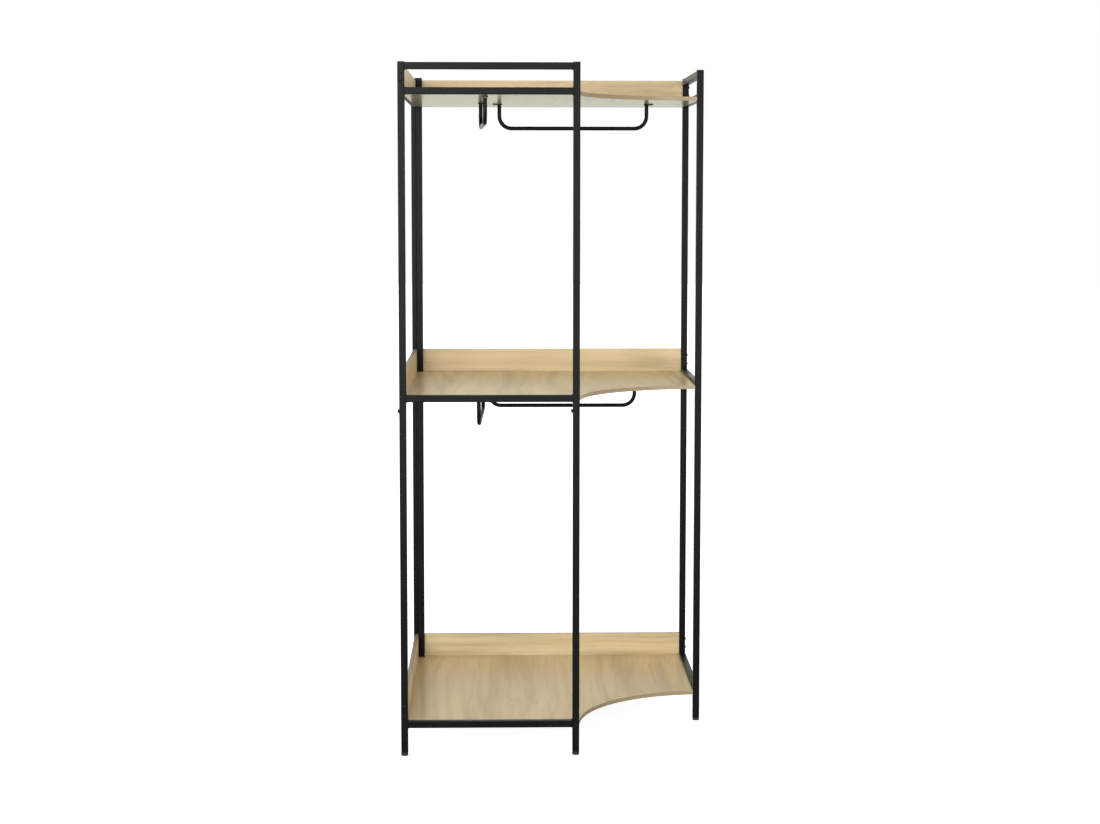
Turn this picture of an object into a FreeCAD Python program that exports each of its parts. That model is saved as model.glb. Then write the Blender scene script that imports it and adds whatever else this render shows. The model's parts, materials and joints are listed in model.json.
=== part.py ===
import FreeCAD, Part
import math
import os

from FreeCAD import Vector

os.makedirs("parts", exist_ok=True)

# An open corner closet: two welded end frames and a corner post pair in black square tube,
# three boards with a concave front, low edge boards along the walls, and bent hanging rods.
# The corner of the walls is at zero while the pieces are made: X runs right along the back
# wall, Y runs back from the room, so the closet lies at positive X and negative Y.
# The right wing is the left wing mirrored about the diagonal of that corner.

# Overall sizes, in millimetres
unit_width = 900.0
unit_height = 1990.0
front_radius = 385.0

# Square tube
tube = 20.0
tube_wall = 1.2
tube_corner = 2.0
tube_inner_corner = 0.6
corner_tube = 16.0

# The undersides of the three shelves and of the bars that carry them: the lowest above the floor,
# the middle one above the split of the posts, the highest below the top of the unit
split_height = 990.0
bottom_base = 82.0
middle_rise = 38.0
top_drop = 92.0

# Boards
board = 12.0
panel_rise = 73.0
board_gap = 0.25
edge_round = 0.8

# The inner sleeve at the split of the posts
sleeve_length = 70.0
sleeve_wall = 1.5
sleeve_gap = 0.2

# Joint bolt and nut
bolt_radius = 3.0
bolt_length = 10.0
bolt_rise = 12.0
bolt_head_radius = 5.0
bolt_head = 5.0
bolt_flange_radius = 6.2
bolt_flange = 1.2
nut_radius = 5.2
nut_height = 5.0
bolt_hole_gap = 0.2

# Screws through the posts and bars into board edges
screw_radius = 2.5
screw_grip = 30.0
screw_head_radius = 4.5
screw_head = 2.6
screw_gap = 0.1
low_screw_height = 24.0
high_screw_height = 52.0
crossing_drop = 10.0
bar_screw_inset = 84.0

# Countersunk screws through the edge boards into the shelf edges
wood_screw_radius = 2.0
wood_screw_length = 32.0
wood_head_radius = 4.0
wood_head_depth = 2.2
edge_screw_shares = (0.15, 0.5, 0.85)

# Hanging rods, each with a screw plate welded on top of both legs
rod_diameter = 12.0
rod_span = 460.0
rod_drop = 76.0
rod_bend = 38.0
tab_thickness = 3.0
tab_width = 17.0
tab_reach = 21.0
tab_edge_round = 0.5
rod_weld_leg = 1.8
rod_screw_grip = 9.0
rod_screw_head = 2.4
left_rod_centre = 565.0
left_upper_rod_off_wall = 237.0
left_lower_rod_off_wall = 230.0
left_upper_rod_turn = 2.1
left_lower_rod_turn = -1.1
back_rod_off_wall = 255.0
back_upper_rod_centre = 516.0
back_lower_rod_centre = 482.0

# Welds and the plates between the two corner tubes
weld_leg = 2.0
tie_plate = 3.0
tie_setback = 2.0

# End caps
cap_plate = 2.0
cap_round = 0.8
cap_skirt = 12.0
cap_skirt_wall = 1.6
plug_gap = 0.2

# Levelling feet and the inserts that hold them
foot_radius = 10.5
foot_height = 8.0
foot_rim = 5.0
foot_chamfer = 1.0
foot_neck_radius = 7.5
stud_radius = 4.0
stud_length = 28.0
stud_socket = 5.0
thread_gap = 0.05
insert_rim = 1.5
insert_depth = 20.0

# How far a cutting tool runs past the face that it enters
overrun = 1.0

# Worked out from the sizes above
wing_length = unit_width - front_radius
middle_base = split_height + middle_rise
top_base = unit_height - top_drop
post_base = foot_height + insert_rim
post_top = unit_height - cap_plate
guard_base = post_top - tube
bar_length = wing_length - 2 * tube
shelf_edge = tube - (tube - board) / 2
panel_face = (tube - board) / 2
level_base = {"bottom": bottom_base, "middle": middle_base, "top": top_base}
bar_base = dict(level_base, guard=guard_base)
joint_height = split_height + bolt_rise

UP = Vector(0, 0, 1)
DOWN = Vector(0, 0, -1)
RIGHT = Vector(1, 0, 0)
LEFT = Vector(-1, 0, 0)
BACK = Vector(0, 1, 0)
FRONT = Vector(0, -1, 0)


def mirrored(shape):
    """The same piece on the other wing: X and Y change places about the corner's diagonal."""
    return shape.mirror(Vector(0, 0, 0), Vector(1, 1, 0))


def joined(shapes):
    """Several overlapping or touching solids made into one."""
    return shapes[0].fuse(shapes[1:]).removeSplitter()


def rounded_block(size, height, radius, place):
    """A square block standing at its low corner, with its upright edges rounded."""
    block = Part.makeBox(size, size, height, place)
    upright = [e for e in block.Edges if abs(e.tangentAt(e.FirstParameter).z) > 0.5]
    return block.makeFillet(radius, upright)


def square_tube(size, wall, length, place):
    """A length of square tube standing at its low corner."""
    outer = rounded_block(size, length, tube_corner, place)
    hollow_place = place + Vector(wall, wall, -overrun)
    hollow = rounded_block(size - 2 * wall, length + 2 * overrun, tube_inner_corner, hollow_place)
    return outer.cut(hollow)


def drilled(shape, radius, mouths, direction, depth):
    """The shape with a round hole of a depth from each mouth."""
    for mouth in mouths:
        start = mouth - direction * overrun
        shape = shape.cut(Part.makeCylinder(radius, depth + overrun, start, direction))
    return shape


def turned(profile, place, direction):
    """A solid of revolution from points given as radius and height, stood along a direction."""
    points = [Vector(r, 0, h) for r, h in profile]
    face = Part.Face(Part.makePolygon(points + points[:1]))
    solid = face.revolve(Vector(0, 0, 0), UP, 360)
    solid.Placement = FreeCAD.Placement(place, FreeCAD.Rotation(UP, direction))
    return solid


def head_screw(place, direction, radius, head_radius, head, length):
    """A screw whose head sits on a face: place is on that face, direction runs into the work."""
    crown = head_radius / 2
    profile = [(0, -head), (crown, -head), (head_radius, -head / 2), (head_radius, 0),
               (radius, 0), (radius, length - radius), (0, length)]
    return turned(profile, place, direction)


def post_tubes(size, x, y):
    """The upper and lower tube of a post whose low corner is at x, y."""
    upper = square_tube(size, tube_wall, post_top - split_height, Vector(x, y, split_height))
    lower = square_tube(size, tube_wall, split_height - post_base, Vector(x, y, post_base))
    return upper, lower


def panel_screw_mouths(x, y, level, drop):
    """The two points on a post where the screws into one end of an edge board go in."""
    shelf_top = level_base[level] + board
    return [Vector(x, y, shelf_top + height - drop) for height in (low_screw_height, high_screw_height)]


def bar_screw_mouths(level):
    """The two points on the face of a front bar where the screws into the shelf go in."""
    height = level_base[level] + board / 2
    return [Vector(x, -unit_width, height) for x in (bar_screw_inset, wing_length - bar_screw_inset)]


def joint_sleeve(size, x, y):
    """The inner tube that spans a post's split, a sliding fit in a post of the given size."""
    sleeve_size = size - 2 * tube_wall - 2 * sleeve_gap
    inset = (size - sleeve_size) / 2
    place = Vector(x + inset, y + inset, split_height - sleeve_length / 2)
    return square_tube(sleeve_size, sleeve_wall, sleeve_length, place)


def joint_bolt(face_point, direction):
    """Flanged bolt that pins a post to its sleeve."""
    profile = [(0, -bolt_head), (bolt_head_radius, -bolt_head), (bolt_head_radius, -bolt_flange),
               (bolt_flange_radius, -bolt_flange), (bolt_flange_radius, 0),
               (bolt_radius, 0), (bolt_radius, bolt_length), (0, bolt_length)]
    return turned(profile, face_point, direction)


def joint_nut(face_point, direction):
    """Hexagon nut welded inside the sleeve, behind the hole that the bolt comes through."""
    depth = tube_wall + sleeve_gap + sleeve_wall
    corners = [Vector(nut_radius * math.cos(math.radians(a)), nut_radius * math.sin(math.radians(a)), 0)
               for a in range(0, 420, 60)]
    nut = Part.Face(Part.makePolygon(corners)).extrude(UP * nut_height)
    nut = nut.cut(Part.makeCylinder(bolt_radius + screw_gap, nut_height + 2 * overrun, DOWN * overrun))
    nut.Placement = FreeCAD.Placement(face_point + direction * depth, FreeCAD.Rotation(UP, direction))
    return nut


def end_cap(size, x, y, plate_base, skirt_direction):
    """Plastic cap that closes a tube's end: a thin plate and a hollow skirt pushed into the tube."""
    plate = rounded_block(size, cap_plate, tube_corner, Vector(x, y, plate_base))
    rim_height = plate_base + cap_plate if skirt_direction.z < 0 else plate_base
    rim = [e for e in plate.Edges if all(abs(v.Z - rim_height) < cap_round / 10 for v in e.Vertexes)]
    plate = plate.makeFillet(cap_round, rim)
    skirt_size = size - 2 * tube_wall - 2 * plug_gap
    inset = (size - skirt_size) / 2
    skirt_base = plate_base - cap_skirt if skirt_direction.z < 0 else plate_base + cap_plate
    skirt_place = Vector(x + inset, y + inset, skirt_base)
    skirt = rounded_block(skirt_size, cap_skirt, tube_inner_corner, skirt_place)
    core_size = skirt_size - 2 * cap_skirt_wall
    core_inset = inset + cap_skirt_wall
    core = Part.makeBox(core_size, core_size, cap_skirt, Vector(x + core_inset, y + core_inset, skirt_base))
    return joined([plate, skirt.cut(core)])


def foot_insert(x, y):
    """Plastic insert in a post's lower end, with a rim under the tube and a thread for the foot."""
    rim = rounded_block(tube, insert_rim, tube_corner, Vector(x, y, foot_height))
    plug_size = tube - 2 * tube_wall - 2 * plug_gap
    inset = (tube - plug_size) / 2
    plug_place = Vector(x + inset, y + inset, post_base)
    plug = rounded_block(plug_size, insert_depth, tube_inner_corner, plug_place)
    centre = Vector(x + tube / 2, y + tube / 2, foot_height)
    insert = joined([rim, plug])
    return drilled(insert, stud_radius + thread_gap, [centre], UP, insert_rim + insert_depth + overrun)


def foot_pad(x, y):
    """Round glide that stands on the floor, with a socket for its stud."""
    profile = [(0, 0), (foot_radius - foot_chamfer, 0), (foot_radius, foot_chamfer),
               (foot_radius, foot_rim), (foot_neck_radius, foot_height), (0, foot_height)]
    centre = Vector(x + tube / 2, y + tube / 2, 0)
    pad = turned(profile, centre, UP)
    mouth = centre + UP * foot_height
    return drilled(pad, stud_radius + thread_gap, [mouth], DOWN, stud_socket)


def foot_stud(x, y):
    """Threaded steel stud moulded into the glide."""
    base = foot_height - stud_socket
    centre = Vector(x + tube / 2, y + tube / 2, base)
    return Part.makeCylinder(stud_radius, stud_socket + stud_length, centre, UP)


def weld_bead(x, height, along, rise):
    """Fillet weld across the tube where a bar meets a post: along and rise are plus or minus one."""
    width = tube - 2 * tube_corner
    start = -unit_width + tube_corner
    corner = Vector(x, start, height)
    out = Vector(x + along * weld_leg, start, height)
    over = Vector(x, start, height + rise * weld_leg)
    throat = Vector(x + along * weld_leg / 3, start, height + rise * weld_leg / 3)
    edges = [Part.LineSegment(corner, out).toShape(), Part.Arc(out, throat, over).toShape(),
             Part.LineSegment(over, corner).toShape()]
    return Part.Face(Part.Wire(edges)).extrude(BACK * width)


def front_bar(name):
    """A bar of the front frame, lying between its two posts."""
    bar = square_tube(tube, tube_wall, bar_length, Vector(0, 0, 0))
    bar.rotate(Vector(0, 0, 0), BACK, 90)
    bar.translate(Vector(tube, -unit_width, bar_base[name] + tube))
    if name in level_base:
        bar = drilled(bar, screw_radius + screw_gap, bar_screw_mouths(name), BACK, tube + overrun)
    return bar


def front_welds():
    """Welds above and below each bar end, but none above the guard bar, which ends the posts."""
    beads = []
    for name, base in bar_base.items():
        for x, along in ((tube, 1), (wing_length - tube, -1)):
            beads.append(weld_bead(x, base, along, -1))
            if name != "guard":
                beads.append(weld_bead(x, base + tube, along, 1))
    return beads


def left_panel(level, corner_drop):
    """Edge board along the left wall, from the front post to the corner post."""
    base = level_base[level]
    front_end = -unit_width + tube + board_gap
    back_end = -corner_tube - board_gap
    length = back_end - front_end
    panel = Part.makeBox(board, length, board + panel_rise, Vector(panel_face, front_end, base))
    top = base + board + panel_rise
    long_edges = [e for e in panel.Edges
                  if abs(e.tangentAt(e.FirstParameter).y) > 0.5 and e.BoundBox.ZMin > top - edge_round]
    panel = panel.makeFillet(edge_round, long_edges)
    front_mouths = panel_screw_mouths(tube / 2, front_end, level, 0)
    back_mouths = panel_screw_mouths(tube / 2, back_end, level, corner_drop)
    panel = drilled(panel, screw_radius + screw_gap, front_mouths, BACK, screw_grip)
    panel = drilled(panel, screw_radius + screw_gap, back_mouths, FRONT, screw_grip)
    for mouth in edge_screw_mouths(level):
        panel = drilled(panel, wood_screw_radius + screw_gap, [mouth], RIGHT, board + overrun)
        panel = panel.cut(Part.makeCone(wood_head_radius + screw_gap, wood_screw_radius + screw_gap,
                                        wood_head_depth, mouth, RIGHT))
    return panel


def edge_screw_mouths(level):
    """The points on the left edge board where the screws into the shelf's edge go in."""
    front_end = -unit_width + tube
    length = -corner_tube - front_end
    height = level_base[level] + board / 2
    return [Vector(panel_face, front_end + share * length, height) for share in edge_screw_shares]


def wood_screw(place, direction):
    """Countersunk screw, its head flush with the board."""
    profile = [(0, 0), (wood_head_radius, 0), (wood_screw_radius, wood_head_depth),
               (wood_screw_radius, wood_screw_length - wood_screw_radius), (0, wood_screw_length)]
    return turned(profile, place, direction)


def rod_positions(level):
    """Where the two rods under a shelf go: the middle of each and the direction it runs in.
    The left rods hang a degree or two out of square, as they were screwed on."""
    if level == "top":
        left = Vector(left_upper_rod_off_wall, -left_rod_centre, top_base)
        left_turn = left_upper_rod_turn
        back = Vector(back_upper_rod_centre, -back_rod_off_wall, top_base)
    else:
        left = Vector(left_lower_rod_off_wall, -left_rod_centre, middle_base)
        left_turn = left_lower_rod_turn
        back = Vector(back_lower_rod_centre, -back_rod_off_wall, middle_base)
    left_along = FreeCAD.Rotation(UP, left_turn).multVec(FRONT)
    return [("left", left, left_along), ("back", back, RIGHT)]


def rod_screw_mouths(level):
    """The four points on a shelf's underside where the rods are screwed to it."""
    reach = rod_span / 2 + tab_reach - tab_width / 2
    return [middle + along * side * reach for _, middle, along in rod_positions(level) for side in (1, -1)]


def shelf(level):
    """Shelf board: square at the walls, notched round the corner post, a quarter round in front."""
    wall_side = shelf_edge + board_gap
    room_side = unit_width - tube - board_gap
    notch = corner_tube + tube + board_gap
    centre = Vector(unit_width, -unit_width, 0)
    start_x = unit_width - math.sqrt(front_radius ** 2 - (unit_width - room_side) ** 2)
    start = Vector(start_x, -room_side, 0)
    end = Vector(room_side, -start_x, 0)
    middle = centre + Vector(-front_radius, front_radius, 0) * math.sqrt(0.5)
    corners = [end, Vector(room_side, -wall_side, 0), Vector(notch, -wall_side, 0),
               Vector(notch, -notch, 0), Vector(wall_side, -notch, 0),
               Vector(wall_side, -room_side, 0), start]
    edges = [Part.Arc(start, middle, end).toShape()]
    edges += [Part.LineSegment(a, b).toShape() for a, b in zip(corners, corners[1:])]
    slab = Part.Face(Part.Wire(edges)).extrude(UP * board)
    curved = [e for e in slab.Edges if isinstance(e.Curve, Part.Circle)]
    slab = slab.makeFillet(edge_round, curved)
    slab.translate(UP * level_base[level])
    return slab


def drilled_shelf(level):
    """The shelf with the holes for every screw that holds it or hangs from it."""
    slab = shelf(level)
    inner_mouths = [m + BACK * (tube + board_gap) for m in bar_screw_mouths(level)]
    for mouth in inner_mouths:
        slab = drilled(slab, screw_radius + screw_gap, [mouth], BACK, screw_grip)
        across = Vector(-mouth.y, -mouth.x, mouth.z)
        slab = drilled(slab, screw_radius + screw_gap, [across], LEFT, screw_grip)
    for mouth in edge_screw_mouths(level):
        inner = mouth + RIGHT * (board + board_gap)
        slab = drilled(slab, wood_screw_radius + screw_gap, [inner], RIGHT, wood_screw_length - board)
        across = Vector(-inner.y, -inner.x, inner.z)
        slab = drilled(slab, wood_screw_radius + screw_gap, [across], FRONT, wood_screw_length - board)
    if level != "bottom":
        slab = drilled(slab, wood_screw_radius + screw_gap, rod_screw_mouths(level), UP, rod_screw_grip)
    return slab


def rod_end():
    """One end of a rod, on the positive side: the screw plate and the weld that holds the leg to it."""
    leg = rod_span / 2
    radius = tab_width / 2
    tip = leg + tab_reach - radius
    outline = Part.Wire([
        Part.LineSegment(Vector(leg, -radius, 0), Vector(tip, -radius, 0)).toShape(),
        Part.Arc(Vector(tip, -radius, 0), Vector(tip + radius, 0, 0), Vector(tip, radius, 0)).toShape(),
        Part.LineSegment(Vector(tip, radius, 0), Vector(leg, radius, 0)).toShape(),
        Part.Arc(Vector(leg, radius, 0), Vector(leg - radius, 0, 0), Vector(leg, -radius, 0)).toShape(),
    ])
    plate = Part.Face(outline).extrude(DOWN * tab_thickness)
    lower_edges = [e for e in plate.Edges if e.BoundBox.ZMax < -tab_thickness / 2]
    plate = plate.makeFillet(tab_edge_round, lower_edges)
    weld = Part.makeCone(rod_diameter / 2, rod_diameter / 2 + rod_weld_leg, rod_weld_leg,
                         Vector(leg, 0, -tab_thickness - rod_weld_leg))
    hole_mouth = Vector(tip, 0, -tab_thickness)
    plate = drilled(plate, wood_screw_radius + bolt_hole_gap, [hole_mouth], UP, tab_thickness + overrun)
    return joined([plate, weld])


def hanging_rod():
    """A rod with its middle at the origin, its plates level with the origin and its bar along X."""
    half = rod_span / 2
    bend_top = -rod_drop + rod_bend
    bend_in = rod_bend * (1 - math.sqrt(0.5))
    run = half - rod_bend
    path = Part.Wire([
        Part.LineSegment(Vector(-half, 0, -tab_thickness), Vector(-half, 0, bend_top)).toShape(),
        Part.Arc(Vector(-half, 0, bend_top), Vector(bend_in - half, 0, bend_in - rod_drop),
                 Vector(-run, 0, -rod_drop)).toShape(),
        Part.LineSegment(Vector(-run, 0, -rod_drop), Vector(run, 0, -rod_drop)).toShape(),
        Part.Arc(Vector(run, 0, -rod_drop), Vector(half - bend_in, 0, bend_in - rod_drop),
                 Vector(half, 0, bend_top)).toShape(),
        Part.LineSegment(Vector(half, 0, bend_top), Vector(half, 0, -tab_thickness)).toShape(),
    ])
    ring = Part.Wire(Part.Circle(Vector(-half, 0, -tab_thickness), UP, rod_diameter / 2).toShape())
    bar = path.makePipeShell([ring], True, False)
    end = rod_end()
    other_end = end.mirror(Vector(0, 0, 0), RIGHT)
    return joined([bar, end, other_end])


def placed_rod(middle, along):
    """A rod hung below a shelf, turned to run along a direction."""
    rod = hanging_rod()
    rod.Placement = FreeCAD.Placement(middle, FreeCAD.Rotation(RIGHT, along))
    return rod


def tie_plates(level):
    """The two small plates welded between the corner tubes, under the ends of the edge boards."""
    length = tube - tie_setback
    width = corner_tube - tie_setback
    place = Vector(corner_tube, -corner_tube, level_base[level] - tie_plate)
    plate = Part.makeBox(length, width, tie_plate, place)
    return [plate, mirrored(plate)]


nodes = {}

# Front frame: the two posts, with holes for the edge board's screws, the bolts and the bars
front_left = post_tubes(tube, 0, -unit_width)
front_middle = post_tubes(tube, wing_length - tube, -unit_width)
left_upper = front_left[0]
left_lower = front_left[1]
for level in ("top", "middle"):
    mouths = panel_screw_mouths(tube / 2, -unit_width, level, 0)
    left_upper = drilled(left_upper, screw_radius + screw_gap, mouths, BACK, tube + overrun)
mouths = panel_screw_mouths(tube / 2, -unit_width, "bottom", 0)
left_lower = drilled(left_lower, screw_radius + screw_gap, mouths, BACK, tube + overrun)
left_bolt = Vector(0, -unit_width + tube / 2, joint_height)
middle_bolt = Vector(wing_length - tube, -unit_width + tube / 2, joint_height)
bolt_hole = bolt_radius + bolt_hole_gap
left_upper = drilled(left_upper, bolt_hole, [left_bolt], RIGHT, tube / 2)
middle_upper = drilled(front_middle[0], bolt_hole, [middle_bolt], RIGHT, tube / 2)
frame_tubes = {
    "{}_post_upper": (left_upper, middle_upper),
    "{}_post_lower": (left_lower, front_middle[1]),
}
for pattern, (outer, inner) in frame_tubes.items():
    nodes[pattern.format("front_left")] = outer
    nodes[pattern.format("front_middle")] = inner
    nodes[pattern.format("side_back")] = mirrored(outer)
    nodes[pattern.format("side_front")] = mirrored(inner)
for name in bar_base:
    bar = front_bar(name)
    nodes["front_{}_bar".format(name)] = bar
    nodes["side_{}_bar".format(name)] = mirrored(bar)
beads = front_welds()
nodes["front_frame_welds"] = Part.makeCompound(beads)
nodes["side_frame_welds"] = Part.makeCompound([mirrored(b) for b in beads])

# Corner posts: a slim tube in the wall corner and a full one inside it
outer_upper, outer_lower = post_tubes(corner_tube, 0, -corner_tube)
inner_upper, inner_lower = post_tubes(tube, corner_tube, -corner_tube - tube)
slim_depth = corner_tube + overrun
for level in level_base:
    from_back = panel_screw_mouths(tube / 2, 0, level, 0)
    from_left = panel_screw_mouths(0, -tube / 2, level, crossing_drop)
    if level == "bottom":
        outer_lower = drilled(outer_lower, screw_radius + screw_gap, from_back, FRONT, slim_depth)
        outer_lower = drilled(outer_lower, screw_radius + screw_gap, from_left, RIGHT, slim_depth)
    else:
        outer_upper = drilled(outer_upper, screw_radius + screw_gap, from_back, FRONT, slim_depth)
        outer_upper = drilled(outer_upper, screw_radius + screw_gap, from_left, RIGHT, slim_depth)
outer_bolt = Vector(0, -corner_tube / 2, joint_height)
inner_bolt = Vector(corner_tube + tube / 2, -corner_tube - tube, joint_height)
outer_upper = drilled(outer_upper, bolt_hole, [outer_bolt], RIGHT, corner_tube / 2)
inner_upper = drilled(inner_upper, bolt_hole, [inner_bolt], BACK, tube / 2)
nodes["corner_outer_post_upper"] = outer_upper
nodes["corner_outer_post_lower"] = outer_lower
nodes["corner_inner_post_upper"] = inner_upper
nodes["corner_inner_post_lower"] = inner_lower
nodes["corner_tie_plates"] = Part.makeCompound([p for level in level_base for p in tie_plates(level)])

# Joints in the posts
left_sleeve = drilled(joint_sleeve(tube, 0, -unit_width), bolt_hole, [left_bolt], RIGHT, tube / 2)
middle_sleeve = joint_sleeve(tube, wing_length - tube, -unit_width)
middle_sleeve = drilled(middle_sleeve, bolt_hole, [middle_bolt], RIGHT, tube / 2)
outer_sleeve = joint_sleeve(corner_tube, 0, -corner_tube)
outer_sleeve = drilled(outer_sleeve, bolt_hole, [outer_bolt], RIGHT, corner_tube / 2)
inner_sleeve = joint_sleeve(tube, corner_tube, -corner_tube - tube)
inner_sleeve = drilled(inner_sleeve, bolt_hole, [inner_bolt], BACK, tube / 2)
wing_bolts = [joint_bolt(left_bolt, RIGHT), joint_bolt(middle_bolt, RIGHT)]
wing_nuts = [joint_nut(left_bolt, RIGHT), joint_nut(middle_bolt, RIGHT)]
corner_bolts = [joint_bolt(outer_bolt, RIGHT), joint_bolt(inner_bolt, BACK)]
corner_nuts = [joint_nut(outer_bolt, RIGHT), joint_nut(inner_bolt, BACK)]
wing_sleeves = [left_sleeve, middle_sleeve]
nodes["joint_sleeves"] = Part.makeCompound(
    wing_sleeves + [mirrored(s) for s in wing_sleeves] + [outer_sleeve, inner_sleeve])
nodes["joint_bolts"] = Part.makeCompound(wing_bolts + [mirrored(b) for b in wing_bolts] + corner_bolts)
nodes["joint_nuts"] = Part.makeCompound(wing_nuts + [mirrored(n) for n in wing_nuts] + corner_nuts)

# Shelves and edge boards
for level in level_base:
    nodes["{}_shelf".format(level)] = drilled_shelf(level)
    nodes["left_{}_panel".format(level)] = left_panel(level, 0)
    nodes["back_{}_panel".format(level)] = mirrored(left_panel(level, crossing_drop))

# Screws through the posts into the edge boards, and through the bars into the shelves
post_screws = []
shelf_screws = []
board_screws = []
post_screw_length = tube + board_gap + screw_grip - overrun
slim_screw_length = corner_tube + board_gap + screw_grip - overrun
for level in level_base:
    for mouth in panel_screw_mouths(tube / 2, -unit_width, level, 0):
        screw = head_screw(mouth, BACK, screw_radius, screw_head_radius, screw_head, post_screw_length)
        post_screws += [screw, mirrored(screw)]
    for mouth in panel_screw_mouths(tube / 2, 0, level, 0):
        post_screws.append(
            head_screw(mouth, FRONT, screw_radius, screw_head_radius, screw_head, slim_screw_length))
    for mouth in panel_screw_mouths(0, -tube / 2, level, crossing_drop):
        post_screws.append(
            head_screw(mouth, RIGHT, screw_radius, screw_head_radius, screw_head, slim_screw_length))
    for mouth in bar_screw_mouths(level):
        screw = head_screw(mouth, BACK, screw_radius, screw_head_radius, screw_head, post_screw_length)
        shelf_screws += [screw, mirrored(screw)]
    for mouth in edge_screw_mouths(level):
        screw = wood_screw(mouth, RIGHT)
        board_screws += [screw, mirrored(screw)]
nodes["post_screws"] = Part.makeCompound(post_screws)
nodes["shelf_screws"] = Part.makeCompound(shelf_screws)
nodes["board_screws"] = Part.makeCompound(board_screws)

# Hanging rods and their screws
rod_screws = []
for level, height_name in (("top", "upper"), ("middle", "lower")):
    for side, middle, along in rod_positions(level):
        nodes["{}_{}_rod".format(side, height_name)] = placed_rod(middle, along)
    for mouth in rod_screw_mouths(level):
        place = mouth + DOWN * tab_thickness
        length = tab_thickness + rod_screw_grip - wood_screw_radius
        rod_screws.append(
            head_screw(place, UP, wood_screw_radius, wood_head_radius, rod_screw_head, length))
nodes["rod_screws"] = Part.makeCompound(rod_screws)

# Caps on every post and under the slim corner tube, which has no foot
left_cap = end_cap(tube, 0, -unit_width, post_top, DOWN)
middle_cap = end_cap(tube, wing_length - tube, -unit_width, post_top, DOWN)
inner_cap = end_cap(tube, corner_tube, -corner_tube - tube, post_top, DOWN)
outer_cap = end_cap(corner_tube, 0, -corner_tube, post_top, DOWN)
outer_plug = end_cap(corner_tube, 0, -corner_tube, post_base - cap_plate, UP)
nodes["end_caps"] = Part.makeCompound(
    [left_cap, middle_cap, mirrored(left_cap), mirrored(middle_cap), inner_cap, outer_cap, outer_plug])

# Levelling feet under the five full posts
inserts = []
foot_places = {
    "front_left": (0, -unit_width),
    "front_middle": (wing_length - tube, -unit_width),
    "side_front": (unit_width - tube, -wing_length),
    "side_back": (unit_width - tube, -tube),
    "corner": (corner_tube, -corner_tube - tube),
}
for name, (x, y) in foot_places.items():
    inserts.append(foot_insert(x, y))
    nodes["{}_foot_pad".format(name)] = foot_pad(x, y)
    nodes["{}_foot_stud".format(name)] = foot_stud(x, y)
nodes["foot_inserts"] = Part.makeCompound(inserts)

# The origin goes to the middle of the whole footprint, bolt heads included, on the floor
half_span = (unit_width + screw_head - bolt_head) / 2
to_middle = Vector(-half_span, half_span, 0)
for name, shape in nodes.items():
    shape.translate(to_middle)
    shape.exportStep("parts/{}.step".format(name))
print("nodes", len(nodes), "solids", sum(len(s.Solids) for s in nodes.values()))
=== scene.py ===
import json
import math

import bmesh
import bpy
from mathutils import Matrix, Vector


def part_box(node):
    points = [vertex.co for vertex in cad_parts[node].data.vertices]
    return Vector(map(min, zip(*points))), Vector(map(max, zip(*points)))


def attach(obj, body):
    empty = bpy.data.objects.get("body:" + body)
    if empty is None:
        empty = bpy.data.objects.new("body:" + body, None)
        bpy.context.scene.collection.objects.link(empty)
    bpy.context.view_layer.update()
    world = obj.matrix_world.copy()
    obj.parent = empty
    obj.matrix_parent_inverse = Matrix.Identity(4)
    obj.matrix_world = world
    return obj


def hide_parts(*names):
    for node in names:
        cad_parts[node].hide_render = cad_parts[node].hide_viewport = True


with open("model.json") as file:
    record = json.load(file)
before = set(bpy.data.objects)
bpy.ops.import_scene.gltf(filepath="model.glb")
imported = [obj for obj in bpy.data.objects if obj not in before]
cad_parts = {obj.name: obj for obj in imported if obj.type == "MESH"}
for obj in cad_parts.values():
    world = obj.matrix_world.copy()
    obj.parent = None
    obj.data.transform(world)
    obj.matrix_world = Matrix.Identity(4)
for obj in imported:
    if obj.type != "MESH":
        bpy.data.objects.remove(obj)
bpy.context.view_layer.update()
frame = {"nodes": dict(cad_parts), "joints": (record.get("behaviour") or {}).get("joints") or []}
nodes = frame["nodes"]

# Posts and bars.
# Square steel tube, cut to length and welded into two ladder frames, then powder coated satin black.
# The powder melts to a skin with a very fine ripple, and it lies thinner along the tube's edges. The lighter
# colour on the edges is partly that thin powder and partly a painted highlight.
powder_black = (0.0026, 0.0023, 0.0026, 1)
powder_grey = (0.0044, 0.0040, 0.0044, 1)
# The edge colour is partly thin powder and partly a painted highlight.
powder_edge_and_highlight = (0.0085, 0.0080, 0.0085, 1)
powder_specular = 0.083
frame_roughness = (0.30, 0.40)
ripple_size = 0.0014
ripple_depth = 0.00003
ripple_strength = 0.35
powder_clouds_per_metre = 7.0
powder_cloud_range = (0.32, 0.68)
powder_gloss_range = (0.0, 0.6)
edge_mark_patch = 0.03
flat_facing = 0.99
edge_facing = 0.78
usual_noise = (0.3, 0.7)


def shader_node(tree, kind, inputs=(), **settings):
    """One shader node. Inputs are pairs of a socket's name or number and a value or an output to link."""
    node = tree.nodes.new(kind)
    for name, value in settings.items():
        setattr(node, name, value)
    for socket, value in inputs:
        if isinstance(value, bpy.types.NodeSocket):
            tree.links.new(value, node.inputs[socket])
        else:
            node.inputs[socket].default_value = value
    return node


def arithmetic(tree, operation, *values, **settings):
    """The result of one operation on shader values, each a number or an output."""
    return shader_node(tree, "ShaderNodeMath", enumerate(values), operation=operation, **settings).outputs[0]


def spread(tree, value, low, high, to_low=0.0, to_high=1.0, **settings):
    """A value that runs from low to high, spread over another range and held at its ends."""
    steps = enumerate((value, low, high, to_low, to_high))
    return shader_node(tree, "ShaderNodeMapRange", steps, **settings).outputs[0]


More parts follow.
